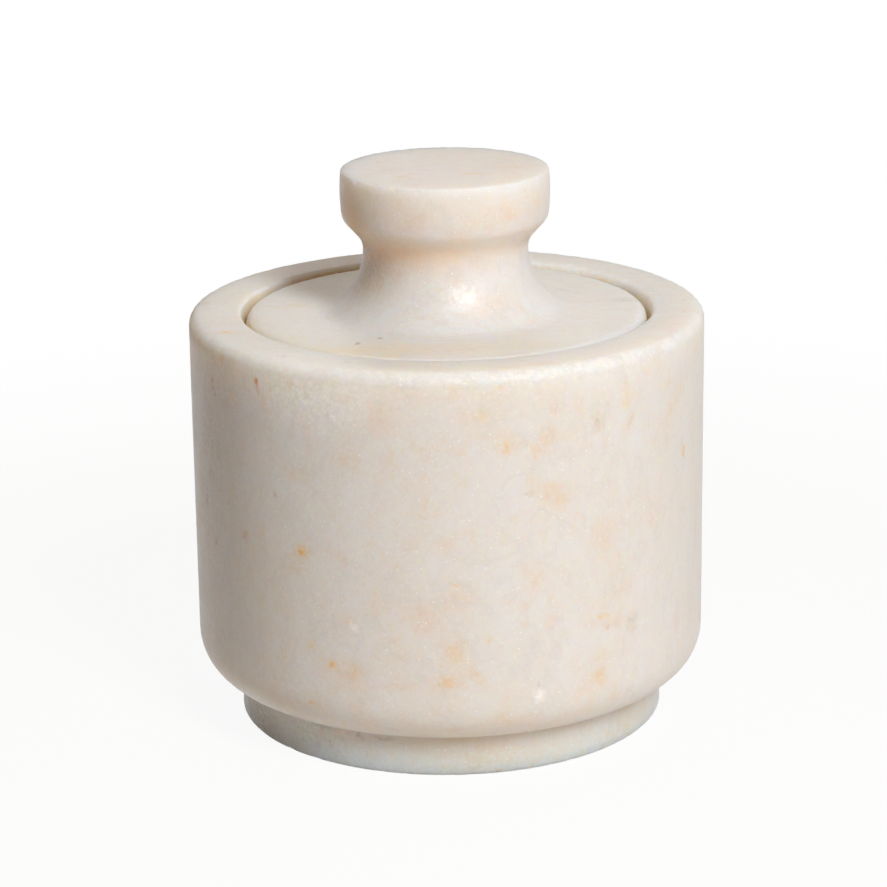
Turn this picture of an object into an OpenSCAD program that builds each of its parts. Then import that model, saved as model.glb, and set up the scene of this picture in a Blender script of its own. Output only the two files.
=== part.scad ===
// Lidded salt bowl, turned in marble: a thick-walled bowl on a ring foot,
// and a loose lid that drops into a recess in its mouth.
// Millimetres, +Z up, origin on the turning axis at the face it stands on.

/* [Bowl outside] */
// Outer diameter of the bowl
bowl_d = 100; // [84:1:130]
// Height from the table to the rim
bowl_h = 81; // [66:0.5:110]
// Round on the rim's outer edge
rim_round = 2.2; // [0.8:0.1:4]
// Round where the side turns under to the foot
body_round = 9; // [4:0.5:14]
// Height of the foot, up to the bowl's underside
foot_h = 8.2; // [5:0.1:14]
// How far the foot stands in from the bowl's side
foot_inset = 8.2; // [5:0.1:14]
// Round on the foot's lower edge
foot_round = 0.8; // [0.3:0.1:1.5]

/* [Bowl mouth and inside] */
// Width of the rim, from the bowl's side to the recess wall
rim_w = 10.2; // [8:0.1:14]
// Round on the rim's inner edge
mouth_round = 0.8; // [0.3:0.1:2]
// Width of the ledge that carries the lid
ledge_w = 3.8; // [2.6:0.1:6]
// Round on the ledge's inner edge
ledge_round = 0.5; // [0.2:0.1:1]
// Thickness of the floor above the table
floor_t = 13; // [9:0.5:22]
// Round between the floor and the inner wall
cavity_round = 12; // [4:0.5:20]

/* [Lid disc] */
// Thickness of the lid's disc
lid_t = 8.5; // [6:0.1:11]
// How far the top of the disc lies below the rim
lid_sink = 0.5; // [0:0.1:2]
// Gap all round between the lid and the recess wall
lid_gap = 0.9; // [0.4:0.1:1.5]
// Round on the disc's upper edge
lid_roll = 2; // [0.5:0.1:3.5]
// Round on the disc's lower edge
lid_base_round = 0.6; // [0.2:0.1:1.2]

/* [Neck] */
// Diameter of the neck where it is narrowest
neck_d = 32; // [24:0.1:38]
// Radius of the long sweep down from the neck
flare_r = 14; // [10:0.5:20]
// Radius of the short sweep that runs out on the disc
toe_r = 5; // [3:0.5:8]
// Angle that the long sweep turns through before the short one takes over
flare_turn = 55; // [45:1:65]

/* [Knob] */
// How far the knob stands out from the neck
knob_overhang = 4.25; // [3.2:0.05:7]
// Height of the knob's side, above its lower round
knob_side_h = 8.5; // [5:0.1:12]
// Radius of the slight barrel shape of the knob's side
barrel_r = 40; // [25:1:120]
// Round on the knob's upper edge
knob_edge_round = 0.5; // [0.3:0.1:1.5]
// Round on the knob's lower corner
knob_low_round = 2.9; // [1:0.1:3.5]
// Slope of the knob's underside, measured from upright
undercut_angle = 42; // [38:1:52]
// Radius of the hollow between the underside and the neck
undercut_round = 4.4; // [2:0.1:6]

/* [Hidden] */

bowl_colour = [0.86, 0.83, 0.79];
lid_colour = [0.89, 0.85, 0.81];
// Faces round a full turn, and round each arc's full circle
turn_steps = 180;
$fn = turn_steps;
// Overrun of each cut past the face that it opens
overrun = 1;
// How far a round laps past the line or arc that it touches, so that the two always meet
touch_lap = 0.001;

bowl_r = bowl_d / 2;
foot_r = bowl_r - foot_inset;
recess_r = bowl_r - rim_w;
recess_depth = lid_t + lid_sink;
seat_z = bowl_h - recess_depth;
cavity_r = recess_r - ledge_w;

lid_r = recess_r - lid_gap;
neck_r = neck_d / 2;
knob_r = neck_r + knob_overhang;

// The long sweep is centred level with the neck, and the short one lies on the
// same normal, so that the two run into each other and then into the flat disc
flare_aim = [-cos(flare_turn), -sin(flare_turn)];
neck_z = lid_t + toe_r + (flare_r - toe_r) * sin(flare_turn);
flare_centre = [neck_r + flare_r, neck_z];
toe_centre = flare_centre + (flare_r - toe_r) * flare_aim;

// The knob's side bulges about its middle. The round at each end touches it from inside
knob_side_half = knob_side_h / 2;
barrel_turn = asin(knob_side_half / barrel_r);
knob_low_aim = [cos(barrel_turn), -sin(barrel_turn)];
undercut_aim = [cos(undercut_angle), -sin(undercut_angle)];
barrel_to_low = (barrel_r - knob_low_round) * knob_low_aim;
knob_low_x = knob_r - barrel_r + barrel_to_low[0];
// Height that the underside takes: the hollow, a straight slope and the lower round
slope_run = knob_low_x + knob_low_round * undercut_aim[0]
    - neck_r - undercut_round * (1 - undercut_aim[0]);
slope_rise = slope_run / tan(undercut_angle);
knob_low_z = neck_z + slope_rise + (undercut_round + knob_low_round) * sin(undercut_angle);
barrel_centre = [knob_r - barrel_r, knob_low_z - barrel_to_low[1]];
knob_low_centre = [knob_low_x, knob_low_z];
lid_h = barrel_centre[1] + knob_side_half;
knob_edge_z = lid_h - knob_edge_round;
knob_edge_reach = sqrt(pow(barrel_r - knob_edge_round, 2) - pow(knob_edge_z - barrel_centre[1], 2));
knob_edge_centre = [barrel_centre[0] + knob_edge_reach, knob_edge_z];
undercut_centre = [neck_r + undercut_round, neck_z];

// Where the outline passes from one stretch to the next
low_touch = barrel_centre + barrel_r * knob_low_aim;
slope_top = knob_low_centre + knob_low_round * undercut_aim;
slope_foot = undercut_centre - undercut_round * undercut_aim;
edge_touch = barrel_centre
    + barrel_r * (knob_edge_centre - barrel_centre) / (barrel_r - knob_edge_round);

// What a round of radius r takes off a square outer corner at the origin
module corner_waste(r) {
    difference() {
        translate([-r, -r]) square(r + overrun);
        translate([-r, -r]) circle(r);
    }
}

// Slice of a disc of radius r between two directions, less than a half turn apart
module slice(r, from, to) {
    middle = (from + to) / 2;
    reach = 2 * r;
    intersection() {
        circle(r);
        polygon([
            [0, 0],
            reach * [cos(from), sin(from)],
            reach * [cos(middle), sin(middle)],
            reach * [cos(to), sin(to)]
        ]);
    }
}

// Half outline of a turned block from the axis out, its two outer corners rounded
module block_outline(radius, low, high, low_round, high_round) {
    difference() {
        translate([0, low]) square([radius, high - low]);
        translate([radius, high]) corner_waste(high_round);
        translate([radius, low]) mirror([0, 1]) corner_waste(low_round);
    }
}

// Half outline of a straight bore from low up past high, its upper edge rounded over
module mouth_outline(radius, low, high, edge_round) {
    translate([0, low]) square([radius, high - low + overrun]);
    translate([radius, high]) mirror([1, 0]) corner_waste(edge_round);
}

module foot_outline() {
    difference() {
        square([foot_r, foot_h + body_round]);
        translate([foot_r, 0]) mirror([0, 1]) corner_waste(foot_round);
    }
}

module cavity_outline() {
    difference() {
        mouth_outline(cavity_r, floor_t, seat_z, ledge_round);
        translate([cavity_r, floor_t]) mirror([0, 1]) corner_waste(cavity_round);
    }
}

module bowl() {
    color(bowl_colour)
    rotate_extrude()
    difference() {
        union() {
            foot_outline();
            block_outline(bowl_r, foot_h, bowl_h, body_round, rim_round);
        }
        cavity_outline();
        mouth_outline(recess_r, seat_z, bowl_h, mouth_round);
    }
}

// Half outline of the knob before its underside is hollowed out
module knob_outline() {
    polygon([
        [0, neck_z],
        [neck_r, neck_z],
        slope_foot,
        slope_top,
        low_touch,
        edge_touch,
        [knob_edge_centre[0], lid_h],
        [0, lid_h]
    ]);
    translate(knob_low_centre) circle(knob_low_round + touch_lap);
    translate(knob_edge_centre) circle(knob_edge_round);
    intersection() {
        translate(barrel_centre) circle(barrel_r);
        translate([neck_r, low_touch[1]])
            square([knob_overhang + overrun, edge_touch[1] - low_touch[1]]);
    }
}

// Half outline of the grip: the knob, and the neck that sweeps down into the disc
module grip_outline() {
    difference() {
        union() {
            translate([0, lid_t - lid_roll]) square([toe_centre[0], neck_z - lid_t + lid_roll]);
            knob_outline();
        }
        translate(undercut_centre) circle(undercut_round + touch_lap);
        translate(flare_centre) slice(flare_r, 180, 180 + flare_turn);
        translate(toe_centre) circle(toe_r + touch_lap);
    }
}

module lid() {
    color(lid_colour)
    translate([0, 0, seat_z])
    rotate_extrude()
    union() {
        block_outline(lid_r, 0, lid_t, lid_base_round, lid_roll);
        grip_outline();
    }
}

bowl();
lid();
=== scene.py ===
"""A salt bowl and its loose lid, both turned in honed marble.

Metres, +Z up along the turning axis, with the photographed side towards -Y.
"""

import logging
import math
from collections.abc import Callable
from dataclasses import dataclass
from enum import Enum

import bpy
from mathutils import Matrix, Vector


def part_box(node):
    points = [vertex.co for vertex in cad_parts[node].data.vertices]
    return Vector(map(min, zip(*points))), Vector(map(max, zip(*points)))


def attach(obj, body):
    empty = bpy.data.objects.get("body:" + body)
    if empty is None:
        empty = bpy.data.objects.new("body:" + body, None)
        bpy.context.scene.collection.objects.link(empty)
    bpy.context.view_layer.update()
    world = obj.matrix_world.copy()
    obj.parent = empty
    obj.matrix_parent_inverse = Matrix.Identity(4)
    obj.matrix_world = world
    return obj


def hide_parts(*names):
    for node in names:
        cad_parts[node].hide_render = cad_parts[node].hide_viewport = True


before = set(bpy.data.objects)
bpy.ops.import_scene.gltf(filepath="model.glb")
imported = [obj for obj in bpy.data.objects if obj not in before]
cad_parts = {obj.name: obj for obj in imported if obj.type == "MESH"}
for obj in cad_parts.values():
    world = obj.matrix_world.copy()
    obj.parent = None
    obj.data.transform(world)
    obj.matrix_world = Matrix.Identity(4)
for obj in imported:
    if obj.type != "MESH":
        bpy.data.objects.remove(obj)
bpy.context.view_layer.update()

MM = 0.001
WHITE = (1.0, 1.0, 1.0)
Colour = tuple[float, float, float]
Socket = bpy.types.NodeSocket
Point = tuple[float, float]
Inputs = dict[int | str, object]

log = logging.getLogger("salt_bowl")


class Tint(Enum):
    """What a mark does to the colour of the stone round it, as a share of each primary: mostly the stone's
    own minerals, and in places painted shade or painted light.
    """

    # Rust specks, and also a painted shadow in the recess
    RUST_AND_PAINTED_SHADE = (0.82, 0.50, 0.28)
    ORANGE = (1.03, 0.74, 0.30)
    OCHRE = (1.05, 0.88, 0.58)
    BEIGE = (1.00, 0.91, 0.81)
    SMOKE = (0.90, 0.86, 0.80)
    SLATE = (0.84, 0.86, 0.88)
    # Dark specks, and also painted shade on the foot
    SOOT_AND_PAINTED_SHADE = (0.36, 0.30, 0.26)
    # White spar, and also painted light on the foot and in the recess
    SPAR_AND_PAINTED_LIGHT = (1.22, 1.22, 1.24)


RUST_AND_PAINTED_SHADE, ORANGE, OCHRE, BEIGE, SMOKE, SLATE, SOOT_AND_PAINTED_SHADE, SPAR_AND_PAINTED_LIGHT = Tint


@dataclass(frozen=True)
class Mark:
    """One soft mark in the stone's colour, shaped as an ellipsoid: a mineral mark, or in places painted
    shade or painted light.

    Attributes:
        place: its centre in the piece.
        reach: half sizes along the surface, into it, and up.
        turn: direction that it faces round the axis, in degrees from the front.
        lean: how far it leans over from upright, in degrees.
        tint: what it does to the colour.
        strength: how strongly, from 0 to 1.
    """

    place: Vector
    reach: tuple[float, float, float]
    turn: float
    lean: float
    tint: Tint
    strength: float


def wall_mark(
    radius: float,
    azimuth: float,
    height: float,
    width: float,
    tall: float,
    tint: Tint,
    strength: float,
    lean: float = 0.0,
    deep: float = 0.0,
) -> Mark:
    """Places a mark on an upright turned wall.

    Args:
        radius: radius of the wall.
        azimuth: degrees round the axis, from the front towards +X.
        height: height of the mark's centre, in millimetres.
        width: its width along the wall, in millimetres.
        tall: its height, in millimetres.
        tint: what it does to the colour.
        strength: how strongly, from 0 to 1.
        lean: how far its top leans towards +X, in degrees.
        deep: its depth into the wall, in millimetres, or 0 for as deep as it is large.

    Returns:
        The mark.
    """
    angle = math.radians(azimuth)
    place = Vector((radius * math.sin(angle), -radius * math.cos(angle), height * MM))
    reach = (width * MM / 2, (deep or max(width, tall)) * MM / 2, tall * MM / 2)
    return Mark(place, reach, azimuth, lean, tint, strength)


def flat_mark(
    height: float,
    x: float,
    y: float,
    wide: float,
    deep: float,
    tint: Tint,
    strength: float,
    turn: float = 0.0,
) -> Mark:
    """Places a mark on a flat top.

    Args:
        height: height of the top.
        x: place towards +X, in millimetres.
        y: place towards +Y, in millimetres.
        wide: size along X, in millimetres.
        deep: size along Y, in millimetres.
        tint: what it does to the colour.
        strength: how strongly, from 0 to 1.
        turn: degrees that it is turned through about the upright.

    Returns:
        The mark.
    """
    place = Vector((x * MM, y * MM, height))
    reach = (wide * MM / 2, deep * MM / 2, max(wide, deep) * MM / 2)
    return Mark(place, reach, turn, 0.0, tint, strength)


@dataclass(frozen=True)
class Ring:
    """A circle round the axis near which the stone looks different.

    Attributes:
        radius: its radius.
        height: its height.
        reach: how far its effect goes.
        strength: how strong the effect is on the circle itself.
        pitch: size of the patches in which it comes and goes.
    """

    radius: float
    height: float
    reach: float
    strength: float
    pitch: float = 4 * MM


@dataclass(frozen=True)
class Noise:
    """A cloudy noise.

    Attributes:
        pitch: size of its largest blobs.
        detail: number of finer layers.
        rough: how strong each finer layer is.
    """

    pitch: float
    detail: float
    rough: float


class Board:
    """A node tree, with short calls for the nodes that a stone needs."""

    def __init__(self, owner: bpy.types.Material | bpy.types.World) -> None:
        """Starts with an empty tree.

        Args:
            owner: the material or the world that the tree belongs to.
        """
        owner.use_nodes = True
        self.tree = owner.node_tree
        self.tree.nodes.clear()

    def node(self, kind: str, inputs: Inputs | None = None, **settings: object) -> bpy.types.Node:
        """Adds a node.

        Args:
            kind: its type, without the ShaderNode prefix.
            inputs: what its inputs are linked or set to.
            **settings: properties to set on it first.

        Returns:
            The node.
        """
        made = self.tree.nodes.new("ShaderNode" + kind)
        for key, value in settings.items():
            setattr(made, key, value)
        for key, source in (inputs or {}).items():
            self._feed(made.inputs[key], source)
        return made

    def _feed(self, target: Socket, source: object) -> None:
        """Links an input to a socket, or sets it to a plain value, with full alpha where it is a colour."""
        if isinstance(source, bpy.types.NodeSocket):
            self.tree.links.new(source, target)
        elif target.type == "RGBA":
            target.default_value = (*source, 1.0)
        else:
            target.default_value = source

    def math(self, operation: str, first: object, second: object = 0.0, third: object = 0.0) -> Socket:
        """Adds a Math node.

        Args:
            operation: its operation.
            first: first input.
            second: second input.
            third: third input, where the operation has one.

        Returns:
            Its result.
        """
        return self.node("Math", {0: first, 1: second, 2: third}, operation=operation).outputs[0]

    def vector(self, operation: str, first: object, second: object = (0.0, 0.0, 0.0)) -> Socket:
        """Adds a Vector Math node.

        Args:
            operation: its operation.
            first: first input.
            second: second input.

        Returns:
            Its vector, or its value where the operation measures a length.
        """
        made = self.node("VectorMath", {0: first, 1: second}, operation=operation)
        return made.outputs["Value" if operation == "LENGTH" else "Vector"]

    def nudge(self, source: Socket, colour: Socket, reach: float) -> Socket:
        """Moves a vector at random.

        Args:
            source: the vector.
            colour: a random colour, about 0.5 in each part.
            reach: how far a difference of 1 moves it.

        Returns:
            The moved vector.
        """
        away = self.vector("SUBTRACT", colour, (0.5, 0.5, 0.5))
        made = self.node("VectorMath", {0: away, "Scale": reach}, operation="SCALE")
        return self.vector("ADD", source, made.outputs["Vector"])

    def noise(self, place: Socket, noise: Noise, colour: bool = False) -> Socket:
        """Adds a noise.

        Args:
            place: where it is read.
            noise: its sizes.
            colour: whether its three-part colour is wanted instead of its one value.

        Returns:
            The noise, about 0.5 on average.
        """
        sizes = {"Scale": 1 / noise.pitch, "Detail": noise.detail, "Roughness": noise.rough}
        return self.node("TexNoise", {"Vector": place, **sizes}).outputs["Color" if colour else "Fac"]

    def fade(self, value: object, start: float, stop: float, low: float = 0.0, high: float = 1.0) -> Socket:
        """Maps a stretch of values smoothly onto another.

        Args:
            value: what is mapped.
            start: value that gives low.
            stop: value that gives high.
            low: result up to start.
            high: result from stop on.

        Returns:
            The result.
        """
        inputs = {"Value": value, "From Min": start, "From Max": stop, "To Min": low, "To Max": high}
        return self.node("MapRange", inputs, interpolation_type="SMOOTHSTEP").outputs["Result"]

    def mix(self, amount: object, first: object, second: object, how: str = "MIX") -> Socket:
        """Mixes two colours.

        Args:
            amount: how much of the second, from 0 to 1.
            first: a colour.
            second: another colour.
            how: blend type.

        Returns:
            The mixed colour.
        """
        made = self.node("Mix", {0: amount, 6: first, 7: second}, data_type="RGBA", blend_type=how)
        return made.outputs[2]

    def seen(self) -> Socket:
        """Gives 1 where the surface is seen by the camera, in a reflection or through glass, else 0."""
        path = self.node("LightPath").outputs
        bent = self.math("MAXIMUM", path["Is Glossy Ray"], path["Is Transmission Ray"])
        return self.math("MAXIMUM", path["Is Camera Ray"], bent)


# The stone's own noises: large clouds, mottling, grit, wisps, the folds whose ridges are veins, and honing
DRIFT = Noise(34 * MM, 2.0, 0.5)
MOTTLE = Noise(7 * MM, 4.0, 0.62)
GRIT = Noise(1.1 * MM, 3.0, 0.75)
WISPS = Noise(4.5 * MM, 6.0, 0.72)
FOLDS = Noise(26 * MM, 5.0, 0.6)
HONING = Noise(3 * MM, 3.0, 0.6)

# What makes the freckles' and the marks' outlines ragged and the marks gritty, and the sugar grain
FRECKLE_EDGE = Noise(2.5 * MM, 3.0, 0.6)
MARK_EDGE = Noise(1.8 * MM, 5.0, 0.7)
MARK_GRIT = Noise(0.9 * MM, 4.0, 0.7)
SUGAR = Noise(0.8 * MM, 4.0, 0.75)


@dataclass(frozen=True)
class Marble:
    """Honed marble: warm off-white, clouded, with fine bright points that are partly white grains and
    partly painted glints.

    Attributes:
        slot: the record's material slot.
        seed: shift of the pattern, so that no two blocks are alike.
        pale: colour of the cool, whiter stone.
        warm: colour of the creamier stone.
        grey: colour of the faint veins.
        worn: colour of the whiter edges, partly real wear and partly painted highlight.
        crystal_and_glint: colour of the bright points, partly white grains and partly painted glints.
        glow: tint of the painted warm glow in the crevices, which stands in for light coming out warmer
            through the stone, as a share of each primary.
        crystal_share: share of the grains that show as bright points.
        roughness: roughness of the honed face.
        crystal_pitches: spacing of the few bright points and of the many faint ones.
        sparkle: how far the grains lie out of the face.
        facet: size of those grains.
        bump: depth of the sugar grain.
        freckle_pitch: spacing of the freckles on the back.
        ior: index of refraction.
        specular: strength of the mirror light.
        bleed: how far light spreads inside, at most.
        bleed_shares: how far each primary does, as a share of that.
    """

    slot: str
    seed: tuple[float, float, float]
    pale: Colour = (0.815, 0.777, 0.750)
    warm: Colour = (0.803, 0.733, 0.665)
    grey: Colour = (0.640, 0.620, 0.600)
    worn: Colour = (0.90, 0.89, 0.88)
    crystal_and_glint: Colour = (1.0, 0.99, 0.97)
    glow: Colour = (1.16, 1.04, 0.86)
    crystal_share: float = 0.8
    roughness: float = 0.36
    crystal_pitches: tuple[float, float] = (1.3 * MM, 0.7 * MM)
    sparkle: float = 0.16
    facet: float = 0.5 * MM
    bump: float = 0.06 * MM
    freckle_pitch: float = 10 * MM
    ior: float = 1.5
    specular: float = 0.4
    bleed: float = 12 * MM
    bleed_shares: Colour = (1.0, 0.68, 0.42)

    def make(self, marks: list[Mark], wear_and_highlights: list[Ring], painted_glows: list[Ring]) -> bpy.types.Material:
        """Builds the material for one piece.

        Args:
            marks: marks in it: mineral marks, and in places painted shade and painted light.
            wear_and_highlights: edges that are whiter, partly from real wear and partly as painted
                highlight.
            painted_glows: rings of painted warm glow in the crevices, standing in for light that comes out
                warmer through the stone.

        Returns:
            The material.
        """
        material = bpy.data.materials.new(self.slot)
        board = Board(material)
        place = board.node("TexCoord").outputs["Object"]
        bed = self._bedding(board, place)
        colour = self._clouds(board, bed)
        colour = self._freckled(board, place, colour)
        colour = self._marked(board, place, colour, marks)
        # Painted warm glow in the crevices, standing in for light that comes out warmer through the stone
        painted_glow_share = self._near_rings(board, place, painted_glows)
        colour = board.mix(painted_glow_share, colour, self.glow, how="MULTIPLY")
        # Whiter edges: partly real wear, partly painted highlight where the edges catch the light
        worn = self._near_rings(board, place, wear_and_highlights)
        colour = board.mix(worn, colour, self.worn)
        # Bright points: partly the stone's white grains, partly painted glints
        crystals_and_glints = self._crystals_and_glints(board, place)
        colour = board.mix(crystals_and_glints, colour, self.crystal_and_glint)
        gloss = self._gloss(board, bed, crystals_and_glints, worn)
        grain = self._grain(board, place, crystals_and_glints)
        shader = board.node("BsdfPrincipled", {"Base Color": colour, "Roughness": gloss, "Normal": grain})
        shader.inputs["IOR"].default_value = self.ior
        shader.inputs["Specular IOR Level"].default_value = self.specular
        shader.inputs["Subsurface Weight"].default_value = 1.0
        shader.inputs["Subsurface Radius"].default_value = self.bleed_shares
        shader.inputs["Subsurface Scale"].default_value = self.bleed
        board.node("OutputMaterial", {"Surface": shader.outputs[0]})
        return material

    def _bedding(self, board: Board, place: Socket) -> Socket:
        """Turns places into the block's own layers, which are thin from front to back."""
        tilt = (math.radians(8), math.radians(4), math.radians(-6))
        inputs = {"Vector": place, "Location": self.seed, "Rotation": tilt, "Scale": (1.0, 2.6, 1.0)}
        return board.node("Mapping", inputs, vector_type="POINT").outputs["Vector"]

    def _clouds(self, board: Board, bed: Socket) -> Socket:
        """Mixes the warm and the pale stone in clouds of several sizes, with faint grey veins."""
        drift = board.noise(bed, DRIFT)
        mottle = board.noise(bed, MOTTLE)
        grit = board.noise(bed, GRIT)
        both = board.math("MULTIPLY_ADD", drift, 1.1, board.math("MULTIPLY_ADD", mottle, 1.0, -0.55))
        level = board.math("MULTIPLY_ADD", grit, 0.9, board.math("SUBTRACT", both, 0.45))
        colour = board.mix(board.fade(level, 0.15, 0.95), self.pale, self.warm)
        wisps = board.fade(board.noise(bed, WISPS), 0.51, 0.68, 0.0, 0.6)
        colour = board.mix(wisps, colour, BEIGE.value, how="MULTIPLY")
        ridge = board.math("ABSOLUTE", board.math("SUBTRACT", board.noise(bed, FOLDS), 0.47))
        vein = board.fade(ridge, 0.0, 0.022, 0.16, 0.0)
        return board.mix(vein, colour, self.grey)

    def _freckled(self, board: Board, place: Socket, colour: Socket) -> Socket:
        """Scatters rust and beige freckles over the back, like those that are placed on the front."""
        near = board.nudge(place, board.noise(place, FRECKLE_EDGE, colour=True), 2.5 * MM)
        inputs = {"Vector": near, "Scale": 1 / self.freckle_pitch}
        cells = board.node("TexVoronoi", inputs, feature="F1").outputs
        odds = board.node("SeparateColor", {0: cells["Color"]}).outputs
        behind = board.fade(board.node("SeparateXYZ", {0: place}).outputs["Y"], -8 * MM, 8 * MM)
        wide = board.fade(odds[2], 0.0, 1.0, 0.1, 0.32)
        blob = board.fade(cells["Distance"], 0.0, wide, 1.0, 0.0)
        chosen = board.math("GREATER_THAN", odds[0], 0.62)
        amount = board.math("MULTIPLY", board.math("MULTIPLY", blob, chosen), behind)
        rusty = board.math("GREATER_THAN", odds[1], 0.6)
        tint = board.mix(rusty, BEIGE.value, RUST_AND_PAINTED_SHADE.value)
        strength = board.math("MULTIPLY", amount, board.math("MULTIPLY_ADD", rusty, -0.3, 0.8))
        return board.mix(strength, colour, tint, how="MULTIPLY")

    def _marked(self, board: Board, place: Socket, colour: Socket, marks: list[Mark]) -> Socket:
        """Tints the colour where the marks are, with ragged outlines: mineral marks, and in places painted
        shade and painted light.
        """
        near = board.nudge(place, board.noise(place, MARK_EDGE, colour=True), 3.0 * MM)
        grit = board.fade(board.noise(place, MARK_GRIT), 0.38, 0.6, 0.45, 1.5)
        for tint in Tint:
            blobs = [(self._blob(board, near, mark), mark.strength) for mark in marks if mark.tint is tint]
            amount: object = 0.0
            for blob, strength in blobs:
                amount = board.math("MULTIPLY_ADD", blob, strength, amount)
            if blobs:
                amount = board.math("MINIMUM", board.math("MULTIPLY", amount, grit), 1.0)
                colour = board.mix(amount, colour, tint.value, how="MULTIPLY")
        return colour

    def _blob(self, board: Board, place: Socket, mark: Mark) -> Socket:
        """Gives one mark's strength: 1 at its centre, falling to 0 at its reach."""
        turn = (0.0, math.radians(mark.lean), math.radians(mark.turn))
        inputs = {"Vector": place, "Location": mark.place, "Rotation": turn, "Scale": mark.reach}
        inside = board.node("Mapping", inputs, vector_type="TEXTURE").outputs["Vector"]
        return board.node("TexGradient", {"Vector": inside}, gradient_type="SPHERICAL").outputs["Fac"]

    def _near_rings(self, board: Board, place: Socket, rings: list[Ring]) -> Socket:
        """Gives how near a place is to any of the rings, roughened by noise."""
        height = board.node("SeparateXYZ", {0: place}).outputs["Z"]
        radius = board.vector("LENGTH", board.vector("MULTIPLY", place, (1.0, 1.0, 0.0)))
        total: object = 0.0
        for ring in rings:
            uneven = board.noise(place, Noise(ring.pitch, 3.0, 0.65))
            across = board.math("SUBTRACT", radius, ring.radius)
            up = board.math("SUBTRACT", height, ring.height)
            square = board.math("MULTIPLY_ADD", up, up, board.math("MULTIPLY", across, across))
            near = board.fade(board.math("SQRT", square), 0.0, ring.reach, ring.strength, 0.0)
            patchy = board.math("MULTIPLY", near, board.fade(uneven, 0.3, 0.65, 0.3, 1.0))
            total = board.math("MAXIMUM", patchy, total)
        return total

    def _crystals_and_glints(self, board: Board, place: Socket) -> Socket:
        """Gives the bright points, partly white grains and partly painted glints: a few white ones that
        catch the eye, among many faint ones.
        """
        few, many = self.crystal_pitches
        large = self._grains(board, place, few, 0.13, 0.4)
        small = self._grains(board, place, many, 0.22, 0.0)
        return board.math("MAXIMUM", large, board.math("MULTIPLY", small, 0.5))

    def _grains(self, board: Board, place: Socket, pitch: float, reach: float, least: float) -> Socket:
        """Scatters small round grains.

        Args:
            board: the material's tree.
            place: where they are read.
            pitch: spacing of the cells, each of which holds one grain.
            reach: radius of a grain, as a share of the pitch.
            least: brightness of the faintest grain that shows.

        Returns:
            The brightness, 0 between the grains.
        """
        cells = board.node("TexVoronoi", {"Vector": place, "Scale": 1 / pitch}, feature="F1").outputs
        grain = board.fade(cells["Distance"], reach * 0.6, reach, 1.0, 0.0)
        odds = board.node("SeparateColor", {0: cells["Color"]}).outputs
        chosen = board.math("GREATER_THAN", odds[0], 1 - self.crystal_share)
        bright = board.math("MULTIPLY_ADD", odds[1], 1 - least, least)
        return board.math("MULTIPLY", grain, board.math("MULTIPLY", chosen, bright))

    def _gloss(self, board: Board, bed: Socket, crystals_and_glints: Socket, worn: Socket) -> Socket:
        """Gives the roughness: uneven honing, glassier bright points and duller worn edges."""
        uneven = board.noise(bed, HONING)
        face = board.fade(uneven, 0.3, 0.7, self.roughness - 0.05, self.roughness + 0.05)
        duller = board.math("MULTIPLY_ADD", worn, 0.9, face)
        return board.math("MULTIPLY_ADD", crystals_and_glints, -0.15, duller)

    def _grain(self, board: Board, place: Socket, crystals_and_glints: Socket) -> Socket:
        """Gives the normal: the stone's fine sugar grain, whose grains each lie a little differently."""
        height = board.math("MULTIPLY_ADD", crystals_and_glints, 0.4, board.noise(place, SUGAR))
        bump = board.node("Bump", {"Strength": 0.5, "Distance": self.bump, "Height": height})
        cells = board.node("TexVoronoi", {"Vector": place, "Scale": 1 / self.facet}, feature="F1")
        tilted = board.nudge(bump.outputs["Normal"], cells.outputs["Color"], self.sparkle)
        return board.vector("NORMALIZE", tilted)


class Outline:
    """Half section of a turned piece, drawn from the axis out and back to it.

    Attributes:
        end_step: length of the short steps at a line's ends.
        widest_turn: the most that one step of an arc turns, in degrees.
    """

    end_step = 0.25 * MM
    widest_turn = 8

    def __init__(self, height: float, pitch: float) -> None:
        """Starts on the axis.

        Args:
            height: height of the first point.
            pitch: longest step along the outline.
        """
        self.pitch = pitch
        self.points: list[Point] = [(0.0, height)]

    def line(self, radius: float, height: float) -> None:
        """Runs straight to a point, with short steps at both ends so that the flat shades flat.

        Args:
            radius: the point's distance from the axis.
            height: its height.
        """
        start = Vector(self.points[-1])
        run = Vector((radius, height)) - start
        guard = self.end_step / run.length
        shares = [guard, 1 - guard] if guard < 0.3 else []
        if shares:
            steps = math.ceil(run.length / self.pitch)
            inner = 1 - 2 * guard
            shares[1:1] = [guard + inner * step / steps for step in range(1, steps)]
        for share in shares + [1.0]:
            point = start + run * share
            self.points.append((point.x, point.y))

    def arc(self, centre: Point, radius: float, start: float, stop: float) -> None:
        """Runs along an arc from where the outline is.

        Args:
            centre: the arc's centre.
            radius: its radius.
            start: direction of the first point from the centre, in degrees, not drawn again.
            stop: direction of the last point.
        """
        turn = math.radians(stop - start)
        widest = math.radians(self.widest_turn)
        steps = max(math.ceil(abs(turn) * radius / self.pitch), math.ceil(abs(turn) / widest))
        for step in range(1, steps + 1):
            angle = math.radians(start) + turn * step / steps
            self.points.append((centre[0] + radius * math.cos(angle), centre[1] + radius * math.sin(angle)))


def deselect_objects() -> None:
    """Leaves nothing selected, and no object in edit mode."""
    if bpy.context.object and bpy.context.object.mode != "OBJECT":
        bpy.ops.object.mode_set(mode="OBJECT")
    bpy.ops.object.select_all(action="DESELECT")


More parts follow.
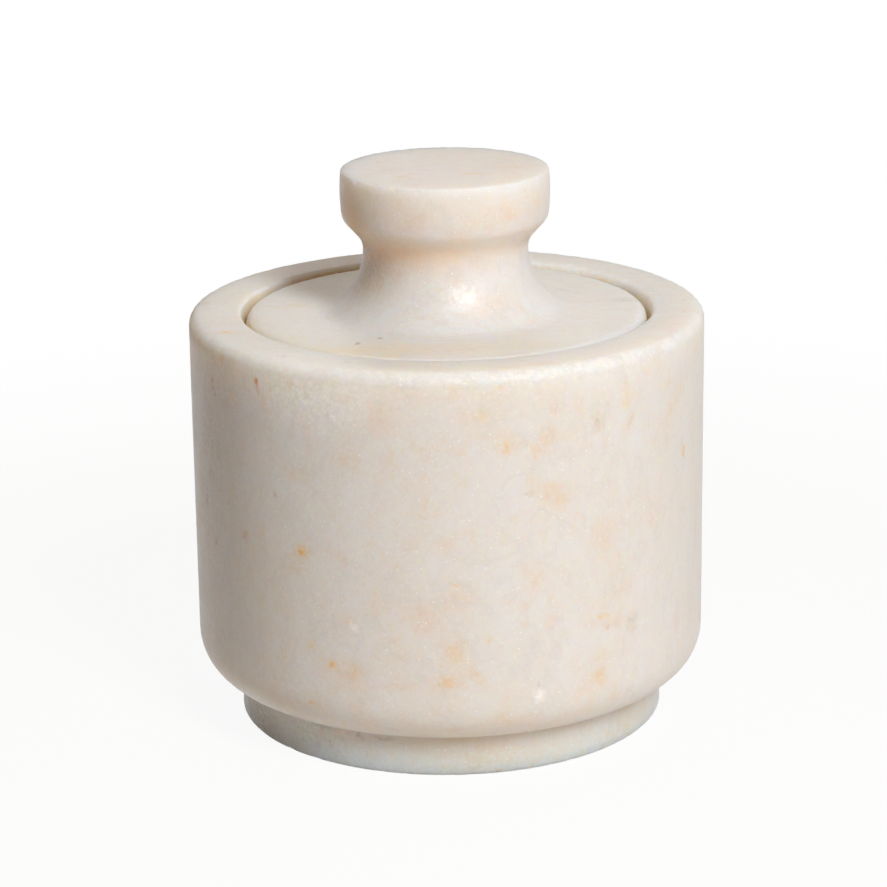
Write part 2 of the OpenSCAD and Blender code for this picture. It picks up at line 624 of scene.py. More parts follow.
def turn_piece(name: str, outline: Outline, steps: int) -> bpy.types.Object:
    """Draws an outline as a chain of edges and screws it round the axis into a closed mesh.

    Args:
        name: name of the piece.
        outline: its half section.
        steps: number of faces round it.

    Returns:
        The piece, smooth, with its place in its mesh.
    """
    deselect_objects()
    bpy.ops.mesh.primitive_plane_add(size=MM)
    piece = bpy.context.object
    piece.name = name
    bpy.ops.object.mode_set(mode="EDIT")
    bpy.ops.mesh.select_all(action="SELECT")
    bpy.ops.mesh.merge(type="CENTER")
    last = outline.points[0]
    bpy.ops.transform.translate(value=(last[0], 0.0, last[1]))
    for point in outline.points[1:]:
        step = (point[0] - last[0], 0.0, point[1] - last[1])
        bpy.ops.mesh.extrude_region_move(TRANSFORM_OT_translate={"value": step})
        last = point
    bpy.ops.object.mode_set(mode="OBJECT")
    screw = piece.modifiers.new("turning", "SCREW")
    screw.axis = "Z"
    screw.steps = steps
    screw.render_steps = steps
    bpy.ops.object.modifier_apply(modifier=screw.name)
    bpy.ops.object.mode_set(mode="EDIT")
    bpy.ops.mesh.select_all(action="SELECT")
    bpy.ops.mesh.remove_doubles(threshold=0.01 * MM)
    bpy.ops.mesh.normals_make_consistent(inside=False)
    bpy.ops.object.mode_set(mode="OBJECT")
    bpy.ops.object.shade_smooth()
    return piece


def weigh(piece: bpy.types.Object, name: str, where: Callable[[Vector], float]) -> str:
    """Writes a rule's values on a piece's points.

    Args:
        piece: the piece.
        name: name of the new vertex group.
        where: the rule.

    Returns:
        The group's name.
    """
    group = piece.vertex_groups.new(name=name)
    for vertex in piece.data.vertices:
        share = where(vertex.co)
        if share > 0.01:
            group.add([vertex.index], share, "REPLACE")
    return group.name


def apply_modifier(piece: bpy.types.Object, modifier: bpy.types.Modifier) -> None:
    """Applies a modifier to its piece.

    Args:
        piece: the piece.
        modifier: the modifier.
    """
    deselect_objects()
    piece.select_set(True)
    bpy.context.view_layer.objects.active = piece
    bpy.ops.object.modifier_apply(modifier=modifier.name)


@dataclass(frozen=True)
class Wear:
    """An uneven skin that has gone from a piece: worn edges, chips, or hand-rubbed unevenness.

    Attributes:
        name: its name.
        pitch: size of its hollows.
        depth: the most that is gone.
        hardness: how sharp the hollows' edges are.
        spared: how much of the surface is left as it was, 0 for hardly any.
        where: tells what share of the depth is gone at a place.
    """

    name: str
    pitch: float
    depth: float
    hardness: float
    spared: float
    where: Callable[[Vector], float]

    def take(self, piece: bpy.types.Object) -> None:
        """Takes the skin off, never adding to the piece.

        Args:
            piece: the piece.
        """
        texture = bpy.data.textures.new(self.name, "CLOUDS")
        texture.noise_scale = self.pitch
        texture.noise_depth = 2
        texture.contrast = self.hardness
        texture.intensity = 1 + self.spared
        texture.use_clamp = True
        worn = piece.modifiers.new(self.name, "DISPLACE")
        worn.texture = texture
        worn.texture_coords = "LOCAL"
        worn.mid_level = 1.0
        worn.strength = self.depth
        worn.vertex_group = weigh(piece, self.name, self.where)
        apply_modifier(piece, worn)


@dataclass(frozen=True)
class Rubbing:
    """An edge that use has rubbed round.

    Attributes:
        name: its name.
        passes: how many times the edge is smoothed.
        where: tells how strongly the smoothing acts at a place.
    """

    name: str
    passes: int
    where: Callable[[Vector], float]

    def take(self, piece: bpy.types.Object) -> None:
        """Rounds the edge off, never adding to the piece.

        Args:
            piece: the piece.
        """
        rubbed = piece.modifiers.new(self.name, "SMOOTH")
        rubbed.factor = 1.0
        rubbed.iterations = self.passes
        rubbed.vertex_group = weigh(piece, self.name, self.where)
        apply_modifier(piece, rubbed)


def near_circle(
    radius: float, height: float, reach: float, start: float = -180, stop: float = 180
) -> Callable[[Vector], float]:
    """Makes a rule that is 1 on a circle round the axis and falls to 0 at a distance from it.

    Args:
        radius: the circle's radius.
        height: its height.
        reach: the distance.
        start: azimuth where the rule starts, in degrees from the front towards +X.
        stop: azimuth where it stops.

    Returns:
        The rule.
    """
    fade = 12.0

    def share(place: Vector) -> float:
        away = math.hypot(math.hypot(place.x, place.y) - radius, place.z - height)
        if away >= reach:
            return 0.0
        azimuth = math.degrees(math.atan2(place.x, -place.y))
        inside = 1.0
        if stop - start < 360:
            inside = max(0.0, min(1.0, (azimuth - start) / fade, (stop - azimuth) / fade))
        return (1 - (away / reach) ** 2) * inside

    return share


# Marks on the bowl's wall: azimuth, height, width, own height, tint, strength, and lean and depth if any
WALL_MARKS = (
    (-45, 76.3, 1.7, 1.7, RUST_AND_PAINTED_SHADE, 1),
    (-44.5, 75.2, 1.3, 4.4, RUST_AND_PAINTED_SHADE, 0.6, -14),
    (-43, 72.4, 3, 6.5, BEIGE, 0.7, -16),
    (-62, 72.7, 1.5, 4.2, RUST_AND_PAINTED_SHADE, 0.7),
    (-61, 70.7, 1.2, 1.3, RUST_AND_PAINTED_SHADE, 0.6),
    (-47, 74.1, 1.2, 1.2, RUST_AND_PAINTED_SHADE, 0.3),
    (-57, 78.8, 2.4, 4.6, ORANGE, 0.55),
    (-65, 54.8, 1.6, 4, RUST_AND_PAINTED_SHADE, 0.4),
    (-68, 47.9, 1.7, 7, RUST_AND_PAINTED_SHADE, 0.4),
    (-82, 46, 1.6, 1.6, RUST_AND_PAINTED_SHADE, 0.5),
    (-56, 50.4, 1.6, 2.4, RUST_AND_PAINTED_SHADE, 0.3),
    (-63, 40.9, 1.6, 2, RUST_AND_PAINTED_SHADE, 0.5),
    (-50, 45.5, 3.6, 4.4, BEIGE, 1),
    (-50, 45.5, 2.4, 3.4, RUST_AND_PAINTED_SHADE, 0.2),
    (-40, 55.3, 1, 1, SOOT_AND_PAINTED_SHADE, 0.4),
    (-33, 45.5, 2.8, 2.8, ORANGE, 1),
    (-33, 45, 5.5, 5.5, OCHRE, 0.4),
    (-35, 42, 8, 8, BEIGE, 0.6),
    (-26, 72.8, 1, 1, SOOT_AND_PAINTED_SHADE, 0.35),
    (-14, 72.1, 8, 10, BEIGE, 0.65),
    (-35, 60.5, 7, 5, BEIGE, 0.6),
    (-12, 64.7, 5, 5, BEIGE, 0.35),
    (-6, 35.1, 12, 8, BEIGE, 0.75),
    (-16, 36.9, 8, 6, BEIGE, 0.5),
    (-23, 33, 6, 4.5, BEIGE, 0.5),
    (11, 78.2, 1.5, 1.5, ORANGE, 0.5),
    (7, 73.2, 4.4, 3.6, OCHRE, 0.55),
    (3, 73.1, 4, 4, BEIGE, 0.5),
    (23, 73.1, 3.6, 4, BEIGE, 0.5),
    (12, 66.2, 2.4, 4, ORANGE, 0.45),
    (12.5, 67.6, 6.5, 6.5, BEIGE, 0.9),
    (20, 66.9, 4, 8, BEIGE, 0.9, 35),
    (22, 69.2, 2.6, 4, BEIGE, 0.5, 30),
    (33, 69.4, 4.6, 5.5, SMOKE, 0.7),
    (33, 69.6, 1, 1, RUST_AND_PAINTED_SHADE, 0.4),
    (41, 72.4, 3.4, 5.5, OCHRE, 0.5),
    (42, 67.9, 3, 8, BEIGE, 0.9, 30),
    (42.5, 68.4, 1.5, 4.4, RUST_AND_PAINTED_SHADE, 0.3, 30),
    (57, 68.1, 6, 16, BEIGE, 0.6, 40),
    (63, 58.1, 1.8, 3.6, ORANGE, 0.7),
    (17, 57.7, 2.8, 1.2, RUST_AND_PAINTED_SHADE, 0.35),
    (23, 56.7, 8, 7, BEIGE, 1),
    (24.5, 55.2, 4, 4, BEIGE, 0.6),
    (35, 47.5, 8, 10, BEIGE, 0.7),
    (50, 50.2, 11, 12, BEIGE, 0.5),
    (18, 40.9, 5.5, 9, BEIGE, 0.8, 20),
    (1, 40.9, 1.3, 1.3, ORANGE, 0.5),
    (2, 38.8, 8, 8, BEIGE, 0.6),
    (-1, 49, 6, 6, BEIGE, 0.4),
    (35, 31.5, 3.4, 2, OCHRE, 1, 10),
    (36, 28.8, 1.3, 1.3, RUST_AND_PAINTED_SHADE, 0.5),
    (38, 29.6, 8, 3.4, BEIGE, 0.7),
    (43, 28.7, 4.4, 5.6, SMOKE, 0.9),
    (22, 32.5, 3.4, 4, BEIGE, 0.5),
    (60, 24.9, 4, 6, BEIGE, 0.5),
    (40, 35.5, 7, 5, BEIGE, 0.5),
    (72, 41.4, 2, 16, SMOKE, 0.5),
    (-31, 27.3, 3, 3.4, OCHRE, 0.7),
    (-26, 23.8, 2.6, 2.8, OCHRE, 1),
    (-26, 23.8, 1.4, 1.4, ORANGE, 0.5),
    (-21, 23, 3.4, 5, ORANGE, 0.4),
    (-24, 22.3, 13, 9, BEIGE, 0.7),
    (-32, 15.4, 2.8, 1.6, ORANGE, 0.6),
    (-30, 16, 10, 6, BEIGE, 0.5),
    (-11, 20.9, 9, 3, BEIGE, 0.5),
    (1, 28, 8, 7.5, BEIGE, 0.6),
    (1, 28, 5, 5, OCHRE, 0.4),
    (8, 30, 2.4, 2.2, ORANGE, 0.35),
    (-1, 21.8, 8, 4.6, BEIGE, 0.8),
    (-1, 21.8, 5, 3, OCHRE, 0.4),
    (6, 22.5, 3, 7, BEIGE, 0.9, -35),
    (19, 20.5, 1.1, 1.1, RUST_AND_PAINTED_SHADE, 0.6),
    (19, 18.2, 3.4, 3.4, SPAR_AND_PAINTED_LIGHT, 1),
    (18.6, 18, 1.6, 2.2, SPAR_AND_PAINTED_LIGHT, 1),
    (34, 23.8, 7, 5, BEIGE, 0.6),
    (34, 19.6, 3.8, 4.4, ORANGE, 0.25),
    (34, 19.4, 4.6, 5.6, BEIGE, 0.8),
    (37, 16, 4, 9, BEIGE, 0.6, -30),
    (30, 18.5, 4, 10, BEIGE, 0.6, 45),
    (13, 13.1, 16, 5, BEIGE, 0.6),
    (-21, 32, 2.2, 3.6, SPAR_AND_PAINTED_LIGHT, 0.7, -30),
    (-24, 71.6, 1.4, 3.6, SPAR_AND_PAINTED_LIGHT, 0.7, -35),
    (-33, 75.5, 46, 17, SPAR_AND_PAINTED_LIGHT, 0.6),
)

# The same on the foot, with painted shade and painted light as marked below
FOOT_MARKS_AND_PAINTED_LIGHT = (
    (54, 3.4, 4.6, 11, BEIGE, 1),
    (54, 2.4, 2.8, 5, ORANGE, 0.25),
    (45, 1, 6, 6, BEIGE, 0.5),
    (8, 3.5, 7, 5, BEIGE, 0.4),
    (5, 3, 34, 11, BEIGE, 0.8),
    # Painted shade on the foot's left side
    (-76, 3.5, 26, 16, SMOKE, 1),
    (-62, 3.5, 20, 16, SMOKE, 0.6),
    (-68, 2.5, 24, 13, SOOT_AND_PAINTED_SHADE, 0.25),
    # Painted light lifting the body's shadow on the foot's front left
    (-41, 5, 22, 12, SPAR_AND_PAINTED_LIGHT, 0.5),
    (-29, 4.5, 24, 14, SPAR_AND_PAINTED_LIGHT, 0.5),
    (30, 3, 34, 11, BEIGE, 0.6),
    (60, 3, 30, 11, BEIGE, 1),
    # Painted shade: thin dark lines along the top of the foot, under the body's overhang
    (-36, 7.2, 7, 1.2, SOOT_AND_PAINTED_SHADE, 0.3),
    (-18, 7, 6, 1, SOOT_AND_PAINTED_SHADE, 0.3),
    (12, 0.6, 1.1, 1.1, RUST_AND_PAINTED_SHADE, 0.7),
    (-34, 4.5, 1.1, 1.1, RUST_AND_PAINTED_SHADE, 0.5),
    (-55, 5.3, 1.1, 1.1, SOOT_AND_PAINTED_SHADE, 0.5),
    (-45, 5.4, 1.1, 1.1, SOOT_AND_PAINTED_SHADE, 0.4),
    (-25, 7, 1.3, 0.9, SOOT_AND_PAINTED_SHADE, 0.6),
    (-24, 6.6, 0.9, 0.9, SOOT_AND_PAINTED_SHADE, 0.5),
)

# The same on the wall of the recess: mostly painted shade and painted light, as marked below
RECESS_MARKS_AND_PAINTED_LIGHT = (
    # Painted shadow of the knob on the back left of the recess wall
    (-160, 78.5, 22, 4.5, OCHRE, 1),
    (-140, 78.5, 22, 4.5, OCHRE, 1),
    (-150, 78, 34, 5, SMOKE, 1),
    (-150, 78.5, 36, 5, RUST_AND_PAINTED_SHADE, 0.3),
    # Painted warm glow on the left of the recess wall, standing in for light coming through the stone
    (-108, 79, 28, 7, OCHRE, 0.6, 0, 5),
    (-80, 79, 28, 7, OCHRE, 0.6, 0, 5),
    (150, 79.5, 12, 2.5, ORANGE, 0.35),
    (128, 79.5, 9, 2.5, ORANGE, 0.3),
)
# Painted light on the right of the recess wall, down in the gap beside the lid
RECESS_MARKS_AND_PAINTED_LIGHT += tuple((turn, 78, 28, 14, SPAR_AND_PAINTED_LIGHT, 0.6, 0, 5) for turn in (70, 90, 110, 130, 150))

# Painted shade just inside the rim's outer edge at the front and right, damping the key light's highlight
# there
RIM_EDGE_PAINTED_SHADE = tuple((turn, 80.2, 36, 5.5, SLATE, 0.8, 0, 6) for turn in (-20, 0, 20, 40, 60))

# Marks on the rim: X, Y, width, depth, tint, strength, and turn if any
RIM_MARKS = (
    (-47.2, 4.5, 4, 2.8, ORANGE, 0.5),
    (-41.7, -18, 3.4, 3.6, ORANGE, 0.6),
    (-40, -18, 16, 5, BEIGE, 0.5),
    (-30, -36, 1.8, 2.4, RUST_AND_PAINTED_SHADE, 0.4),
    (-18, -40.5, 1.6, 2.2, RUST_AND_PAINTED_SHADE, 0.3),
    (46.4, 1.9, 0.9, 1.8, RUST_AND_PAINTED_SHADE, 0.4),
    (45.6, -6.7, 0.9, 2.4, RUST_AND_PAINTED_SHADE, 0.45),
    (-24.3, 34.3, 3, 4, ORANGE, 0.2),
    (-19.5, 37.2, 2.6, 3.4, ORANGE, 0.25),
)

# The same on the lid's disc
DISC_MARKS = (
    (-29.1, 4.8, 6.5, 4, ORANGE, 0.35),
    (-32, 3, 18, 3, BEIGE, 0.6),
    (-16.6, -25.7, 1.7, 2.2, SOOT_AND_PAINTED_SHADE, 0.9),
    (-12.5, -22, 1.9, 1.8, SOOT_AND_PAINTED_SHADE, 0.8),
    (23.9, 12.8, 9, 2.4, SLATE, 0.7, -41),
    (35.2, 4.6, 8, 5, SLATE, 0.9),
    (5, -31, 44, 14, BEIGE, 0.5),
    (-13, -30, 28, 13, OCHRE, 0.4),
)

# The same on the knob's top
KNOB_TOP_MARKS = (
    (5.6, -6.2, 9, 2.8, ORANGE, 0.4, 5),
    (-8.2, -8.1, 4.6, 2.8, ORANGE, 0.3),
    (-6.1, -5.2, 1.5, 2, ORANGE, 0.45),
    (13.1, -1, 12, 6, BEIGE, 0.5),
    (-6.5, 18.1, 1, 1.8, SOOT_AND_PAINTED_SHADE, 0.5),
)

# Marks on the knob's side, as on the bowl's wall, with painted warm shade on its shaded left
KNOB_SIDE_MARKS_AND_PAINTED_SHADE = (
    (36, 103.1, 5.5, 7, BEIGE, 0.7),
    (61, 103.5, 3, 5.5, ORANGE, 0.2),
    (20, 101.5, 9, 6, BEIGE, 0.5),
    (-20, 102, 12, 7, BEIGE, 0.4),
    (50, 102, 24, 12, BEIGE, 0.4),
    # Painted warm shade on the knob's shaded left side
    (-68, 100, 16, 14, OCHRE, 0.8),
)

# The same on the neck, with painted warm shade on its left and just under the knob
NECK_MARKS_AND_PAINTED_SHADE = (
    (-6, 88.1, 2.6, 2.4, ORANGE, 0.45),
    # Painted warm shade on the neck's shaded left
    (-60, 89.5, 18, 15, OCHRE, 0.4),
    (-15, 92.5, 30, 9, BEIGE, 0.4),
    # Painted shade on the neck's shaded left
    (-65, 89.5, 20, 13, SMOKE, 1),
    # Painted warm shade just under the knob
    (-35, 95.5, 34, 8, OCHRE, 0.3),
)

# The same on the flare below it
FLARE_MARKS = ((30, 85.5, 16, 8, BEIGE, 0.6),)

# Painted warm shade along the front left of the disc's rolled edge, which faces away from the key light
DISC_EDGE_PAINTED_SHADE = tuple((turn, 79.5, 14, 4.5, OCHRE, 0.5) for turn in (-78, -66, -54, -42, -30, -18))


class Turned:
    """What the turned pieces share: how a piece is made from what its own class gives.

    Attributes:
        body: the body that it rides on.
        node: the CAD node that it replaces.
        name: its name.
        marble: its stone.
        turn_steps: number of faces round it.
        coarse: longest step along the outline where little shows.
        medium: the same on plain walls.
        fine: the same round the edges.
    """

    body: str
    node: str
    name: str
    marble: Marble
    turn_steps: int
    coarse: float = 5 * MM
    medium: float
    fine: float

    def build(self) -> bpy.types.Object:
        """Models the piece, dresses it and hangs it on its body.

        Returns:
            The piece.
        """
        piece = turn_piece(self.name, self.outline(), self.turn_steps)
        for wear in self.wears():
            wear.take(piece)
        piece.data.materials.append(self.marble.make(self.marks(), self.wear_and_highlights(), self.painted_glows()))
        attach(piece, self.body)
        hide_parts(self.node)
        log.info("%s: %d faces", piece.name, len(piece.data.polygons))
        return piece


@dataclass
class Bowl(Turned):
    """The thick-walled bowl on its foot, with the recess in its mouth that carries the lid."""

    body: str = "bowl"
    node: str = "bowl"
    name: str = "bowl_turned"
    marble: Marble = Marble("bowl_marble", (0.11, 0.07, 0.03))
    turn_steps: int = 540
    medium: float = 1.6 * MM
    fine: float = 0.4 * MM
    mouth_band: float = 3.8 * MM
    rim_round: float = 2.2 * MM
    rim_inset: float = 0.6 * MM
    body_round: float = 9 * MM
    foot_height: float = 8.2 * MM
    foot_inset: float = 8.2 * MM
    foot_round: float = 0.8 * MM
    rim_width: float = 10.2 * MM
    mouth_round: float = 0.8 * MM
    small_inset: float = 0.2 * MM
    ledge_width: float = 3.8 * MM
    ledge_round: float = 0.5 * MM
    floor_thickness: float = 13 * MM
    cavity_round: float = 12 * MM

    def __post_init__(self) -> None:
        """Works out the other sizes from the frame."""
        _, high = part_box(self.node)
        lid_low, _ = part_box("lid")
        self.radius = high.x
        self.rim = high.z
        self.seat = lid_low.z
        self.foot_radius = self.radius - self.foot_inset
        self.recess_radius = self.radius - self.rim_width
        self.cavity_radius = self.recess_radius - self.ledge_width
        self.rim_edge = (self.radius - self.rim_inset, self.rim - self.rim_inset)
        self.mouth_edge = (self.recess_radius + self.small_inset, self.rim - self.small_inset)
        self.foot_edge = (self.foot_radius - self.small_inset, self.small_inset)

    def outline(self) -> Outline:
        """Draws the half section, from the middle of the foot to the middle of the hollow's floor."""
        made = Outline(0.0, self.coarse)
        body_centre = (self.radius - self.body_round, self.foot_height + self.body_round)
        foot_side = self.foot_radius - body_centre[0]
        meet = math.degrees(math.acos(foot_side / self.body_round))
        made.line(self.foot_radius - self.foot_round, 0.0)
        made.pitch = self.fine
        made.arc((self.foot_radius - self.foot_round, self.foot_round), self.foot_round, -90, 0)
        made.pitch = self.medium
        made.line(self.foot_radius, body_centre[1] - self.body_round * math.sin(math.radians(meet)))
        made.arc(body_centre, self.body_round, -meet, 0)
        made.line(self.radius, self.rim - self.rim_round)
        made.pitch = self.fine
        made.arc((self.radius - self.rim_round, self.rim - self.rim_round), self.rim_round, 0, 90)
        made.pitch = self.medium
        made.line(self.recess_radius + self.mouth_band, self.rim)
        made.pitch = self.fine
        made.line(self.recess_radius + self.mouth_round, self.rim)
        mouth = (self.recess_radius + self.mouth_round, self.rim - self.mouth_round)
        made.arc(mouth, self.mouth_round, 90, 180)
        made.line(self.recess_radius, self.rim - self.mouth_band)
        made.pitch = self.medium
        made.line(self.recess_radius, self.seat)
        made.pitch = self.coarse
        made.line(self.cavity_radius + self.ledge_round, self.seat)
        ledge = (self.cavity_radius + self.ledge_round, self.seat - self.ledge_round)
        made.arc(ledge, self.ledge_round, 90, 180)
        made.line(self.cavity_radius, self.floor_thickness + self.cavity_round)
        hollow = (self.cavity_radius - self.cavity_round, self.floor_thickness + self.cavity_round)
        made.arc(hollow, self.cavity_round, 0, -90)
        made.line(0.0, self.floor_thickness)
        return made

    def marks(self) -> list[Mark]:
        """Gives the marks: mineral marks, with painted shade and painted light on the foot and the recess
        wall, and painted shade at the rim's edge.
        """
        return [
            *(wall_mark(self.radius, *values) for values in WALL_MARKS),
            *(wall_mark(self.foot_radius, *values) for values in FOOT_MARKS_AND_PAINTED_LIGHT),
            *(flat_mark(self.rim, *values) for values in RIM_MARKS),
            *(wall_mark(self.recess_radius, *values) for values in RECESS_MARKS_AND_PAINTED_LIGHT),
            *(wall_mark(self.rim_edge[0], *values) for values in RIM_EDGE_PAINTED_SHADE),
        ]

    def wear_and_highlights(self) -> list[Ring]:
        """Gives the whiter edges of the rim and the mouth: partly real wear, partly painted highlight."""
        return [Ring(*self.rim_edge, 4 * MM, 0.38), Ring(*self.mouth_edge, 0.8 * MM, 0.75, 3 * MM)]

    def painted_glows(self) -> list[Ring]:
        """Gives the rings of painted warm glow: on the recess wall and along the foot's bottom edge."""
        return [
            Ring(self.recess_radius, self.rim - 4 * MM, 4.5 * MM, 0.65, 7 * MM),
            Ring(self.foot_radius, 0.0, 2 * MM, 0.35, 9 * MM),
        ]

    def wears(self) -> list[Wear | Rubbing]:
        """Lists what is gone from the turned shape, in order."""
        mouth = self.mouth_edge

        def outside(place: Vector) -> float:
            away = math.hypot(place.x, place.y)
            return min(1.0, max(0.0, (away - self.recess_radius) / MM), max(0.0, place.z / MM - 0.5))

        return [
            Wear("bowl_rubbed", 14 * MM, 0.08 * MM, 1.0, 0.0, outside),
            Wear("rim_worn", 2.2 * MM, 0.14 * MM, 2.0, 0.2, near_circle(*self.rim_edge, 3 * MM)),
            Rubbing("mouth_rubbed", 150, near_circle(*mouth, self.mouth_band, 66, 165)),
            Wear("mouth_worn", 1.6 * MM, 0.08 * MM, 2.0, 0.2, near_circle(*mouth, 1.2 * MM)),
            Wear("mouth_chipped", 1.4 * MM, 0.15 * MM, 4.0, 0.6, near_circle(*mouth, 1.6 * MM, 95, 178)),
            Wear("foot_chipped", 2.2 * MM, 0.10 * MM, 4.0, 0.85, near_circle(*self.foot_edge, MM)),
        ]


@dataclass
class Lid(Turned):
    """The loose lid: a disc that drops into the mouth, a flared neck and a round knob."""

    body: str = "lid"
    node: str = "lid"
    name: str = "lid_turned"
    marble: Marble = Marble("lid_marble", (0.31, 0.22, 0.17))
    turn_steps: int = 600
    medium: float = 1.2 * MM
    fine: float = 0.35 * MM
    disc_thickness: float = 8.5 * MM
    roll: float = 2 * MM
    base_round: float = 0.6 * MM
    neck_radius: float = 16 * MM
    flare_radius: float = 14 * MM
    toe_radius: float = 5 * MM
    flare_turn: float = 55
    knob_overhang: float = 4.25 * MM
    knob_side: float = 8.5 * MM
    barrel_radius: float = 40 * MM
    knob_edge_round: float = 0.5 * MM
    knob_low_round: float = 2.9 * MM
    undercut_angle: float = 42
    undercut_round: float = 4.4 * MM

    def __post_init__(self) -> None:
        """Works out the other sizes from the frame."""
        low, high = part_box(self.node)
        self.base = low.z
        self.top = high.z
        self.radius = high.x
        self.disc_top = self.base + self.disc_thickness
        self.knob_radius = self.neck_radius + self.knob_overhang
        self.knob_edge = (self.knob_radius - 0.4 * MM, self.top)

    def outline(self) -> Outline:
        """Draws the half section, from the middle of the underside to the middle of the knob's top."""
        made = Outline(self.base, self.coarse)
        made.line(self.radius - self.base_round, self.base)
        made.pitch = self.medium
        made.arc((self.radius - self.base_round, self.base + self.base_round), self.base_round, -90, 0)
        made.line(self.radius, self.disc_top - self.roll)
        made.pitch = self.fine
        made.arc((self.radius - self.roll, self.disc_top - self.roll), self.roll, 0, 90)
        made.pitch = self.medium
        sweep = math.radians(self.flare_turn)
        between = self.flare_radius - self.toe_radius
        neck_height = self.disc_top + self.toe_radius + between * math.sin(sweep)
        flare = (self.neck_radius + self.flare_radius, neck_height)
        toe = (flare[0] - between * math.cos(sweep), self.disc_top + self.toe_radius)
        made.line(toe[0], self.disc_top)
        made.arc(toe, self.toe_radius, 270, 180 + self.flare_turn)
        made.arc(flare, self.flare_radius, 180 + self.flare_turn, 180)
        undercut = (self.neck_radius + self.undercut_round, neck_height)
        made.arc(undercut, self.undercut_round, 180, 180 - self.undercut_angle)
        half_turn = math.asin(self.knob_side / 2 / self.barrel_radius)
        barrel = (self.knob_radius - self.barrel_radius, self.top - self.knob_side / 2)
        inner = self.barrel_radius - self.knob_low_round
        low = (barrel[0] + inner * math.cos(half_turn), barrel[1] - inner * math.sin(half_turn))
        slope = math.radians(self.undercut_angle)
        made.line(
            low[0] + self.knob_low_round * math.cos(slope),
            low[1] - self.knob_low_round * math.sin(slope),
        )
        made.arc(low, self.knob_low_round, -self.undercut_angle, -math.degrees(half_turn))
        made.pitch = self.fine
        edge_height = self.top - self.knob_edge_round
        edge_turn = math.asin((edge_height - barrel[1]) / (self.barrel_radius - self.knob_edge_round))
        made.arc(barrel, self.barrel_radius, -math.degrees(half_turn), math.degrees(edge_turn))
        edge_radius = barrel[0] + (self.barrel_radius - self.knob_edge_round) * math.cos(edge_turn)
        made.arc((edge_radius, edge_height), self.knob_edge_round, math.degrees(edge_turn), 90)
        made.line(edge_radius - 2 * MM, self.top)
        made.pitch = self.medium
        made.line(0.0, self.top)
        return made

    def marks(self) -> list[Mark]:
        """Gives the marks: mineral marks, with painted warm shade on the knob's side, the neck and the
        disc's edge.
        """
        return [
            *(flat_mark(self.disc_top, *values) for values in DISC_MARKS),
            *(flat_mark(self.top, *values) for values in KNOB_TOP_MARKS),
            *(wall_mark(self.knob_radius, *values) for values in KNOB_SIDE_MARKS_AND_PAINTED_SHADE),
            *(wall_mark(self.radius, *values) for values in DISC_EDGE_PAINTED_SHADE),
            *(wall_mark(self.neck_radius, *values) for values in NECK_MARKS_AND_PAINTED_SHADE),
            *(wall_mark(self.neck_radius + 3 * MM, *values) for values in FLARE_MARKS),
        ]

    def wear_and_highlights(self) -> list[Ring]:
        """Gives the whiter edges of the knob and the disc: partly real wear, partly painted highlight."""
        return [
            Ring(*self.knob_edge, 2.6 * MM, 0.35, 3 * MM),
            Ring(self.knob_radius - 0.3 * MM, self.top - 0.2 * MM, 0.8 * MM, 0.35, 0.8 * MM),
            Ring(self.radius - 0.4 * MM, self.disc_top - 0.4 * MM, 0.8 * MM, 0.5, 3 * MM),
        ]

    def painted_glows(self) -> list[Ring]:
        """Gives the ring of painted warm glow just under the knob."""
        return [Ring(self.neck_radius + 1 * MM, self.top - 14 * MM, 5 * MM, 0.5)]

    def wears(self) -> list[Wear | Rubbing]:
        """Lists what is gone from the turned shape, in order."""
        edge = self.knob_edge
        disc = (self.radius - 0.6 * MM, self.disc_top - 0.6 * MM)

        def outside(place: Vector) -> float:
            return min(1.0, max(0.0, (place.z - self.disc_top) / MM + 3))

        return [
            Wear("lid_rubbed", 12 * MM, 0.06 * MM, 1.0, 0.0, outside),
            Wear("knob_worn", 1.5 * MM, 0.10 * MM, 2.0, 0.2, near_circle(*edge, 1.2 * MM)),
            Rubbing("knob_rubbed", 8, near_circle(*edge, 1.6 * MM, -20, 110)),
            Wear("knob_chipped", 0.8 * MM, 0.40 * MM, 4.0, 0.45, near_circle(*edge, 0.9 * MM, -100, -5)),
            Wear("disc_worn", 2.0 * MM, 0.1 * MM, 2.0, 0.2, near_circle(*disc, 2 * MM)),
        ]


@dataclass(frozen=True)
class Lamp:
    """A softbox that points at the middle of the object.

    Attributes:
        name: its name.
        azimuth: degrees round the axis, from the front towards +X.
        elevation: degrees above the table.
        distance: how far it stands off.
        width: its width.
        height: its height.
        power: its power in watts.
        colour: its colour.
    """

    name: str
    azimuth: float
    elevation: float
    distance: float
    width: float
    height: float
    power: float
    colour: Colour

    def hang(self, aim: Vector) -> bpy.types.Object:
        """Hangs the lamp.

        Args:
            aim: what it points at.

        Returns:
            The lamp.
        """
        around = math.radians(self.azimuth)
        above = math.radians(self.elevation)
        level = math.cos(above)
        away = Vector((math.sin(around) * level, -math.cos(around) * level, math.sin(above)))
        data = bpy.data.lights.new(self.name, "AREA")
        data.shape = "RECTANGLE"
        data.size = self.width
        data.size_y = self.height
        data.energy = self.power
        data.color = self.colour
        lamp = bpy.data.objects.new(self.name, data)
        bpy.context.scene.collection.objects.link(lamp)
        lamp.location = aim + away * self.distance
        lamp.rotation_euler = away.to_track_quat("Z", "Y").to_euler()
        return lamp


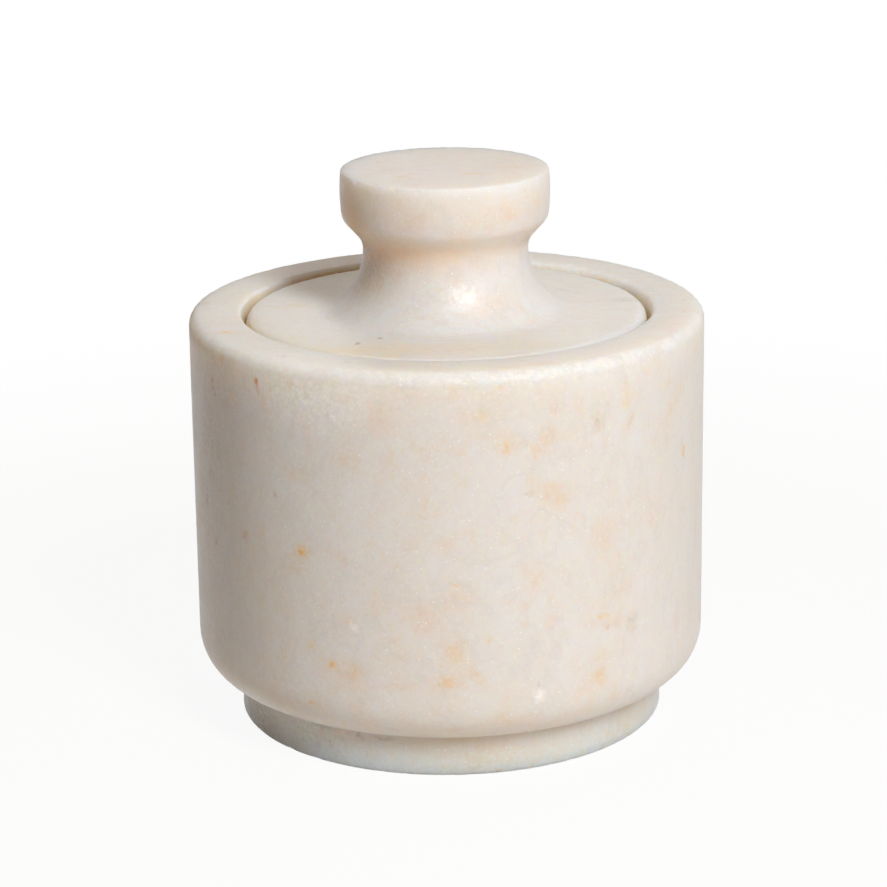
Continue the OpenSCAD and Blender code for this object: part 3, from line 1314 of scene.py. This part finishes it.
@dataclass
class Studio:
    """The pale table, the softboxes, the even light all round, and the camera."""

    camera_elevation: float = 16.8
    camera_roll: float = -0.79
    camera_distance: float = 612.4 * MM
    camera_aim: tuple[float, float, float] = (-0.92 * MM, 0.0, 53.05 * MM)
    focal_pixels: float = 3112
    frame_pixels: float = 887
    sensor_width: float = 36
    table_width: float = 0.8
    table_colour: Colour = (0.76, 0.73, 0.69)
    glow_share: float = 0.93
    glow_all: float = 0.34
    glow_some: float = 0.12
    world_strength: float = 0.083
    world_colour: Colour = (1.0, 0.82, 0.6)

    def lamps(self) -> list[Lamp]:
        """Lists the softboxes."""
        return [
            Lamp("key", 28, 37.5, 1.1, 0.26, 0.42, 10.9, (0.965, 0.985, 1.0)),
            Lamp("top", 180, 77, 1.1, 0.5, 0.5, 2.5, (1.0, 0.77, 0.57)),
        ]

    def build(self) -> None:
        """Sets the table, the light and the camera."""
        self._table()
        self._world()
        for lamp in self.lamps():
            lamp.hang(Vector(self.camera_aim))
        self._camera()

    def _table(self) -> None:
        """Lays a plain pale table top, seen nearly white near the object and white further off."""
        deselect_objects()
        bpy.ops.mesh.primitive_plane_add(size=self.table_width)
        table = bpy.context.object
        table.name = "table_top"
        material = bpy.data.materials.new("table_white")
        board = Board(material)
        surface = board.node("BsdfDiffuse", {"Color": self.table_colour})
        glow = board.node("Emission", {"Color": WHITE, "Strength": 1.0})
        away = board.vector("LENGTH", board.node("TexCoord").outputs["Object"])
        share = board.fade(away, self.glow_some, self.glow_all, self.glow_share, 1.0)
        shown = board.math("MULTIPLY", board.seen(), share)
        both = board.node("MixShader", {0: shown, 1: surface.outputs[0], 2: glow.outputs[0]})
        board.node("OutputMaterial", {"Surface": both.outputs[0]})
        table.data.materials.append(material)

    def _world(self) -> None:
        """Lights the object faintly from all round, and shows white behind it."""
        world = bpy.data.worlds.new("studio")
        bpy.context.scene.world = world
        board = Board(world)
        light = board.node("Background", {"Color": self.world_colour, "Strength": self.world_strength})
        white = board.node("Background", {"Color": WHITE, "Strength": 1.0})
        both = board.node("MixShader", {0: board.seen(), 1: light.outputs[0], 2: white.outputs[0]})
        board.node("OutputWorld", {"Surface": both.outputs[0]})

    def _camera(self) -> None:
        """Sets the camera where the photograph was taken from."""
        tilt = Matrix.Rotation(math.radians(90 - self.camera_elevation), 4, "X")
        axes = tilt @ Matrix.Rotation(math.radians(self.camera_roll), 4, "Z")
        place = Vector(self.camera_aim) + axes.col[2].xyz * self.camera_distance
        data = bpy.data.cameras.new("photograph")
        data.sensor_width = self.sensor_width
        data.lens = self.focal_pixels / self.frame_pixels * self.sensor_width
        data.clip_start = 0.01
        data.clip_end = 50.0
        camera = bpy.data.objects.new("photograph", data)
        bpy.context.scene.collection.objects.link(camera)
        camera.matrix_world = Matrix.Translation(place) @ axes
        bpy.context.scene.camera = camera


def main() -> None:
    """Builds the studio and both pieces, in order."""
    logging.basicConfig(level=logging.INFO, format="%(name)s: %(message)s")
    bpy.context.scene.view_settings.view_transform = "Standard"
    Studio().build()
    Bowl().build()
    Lid().build()


if __name__ == "__main__":
    main()
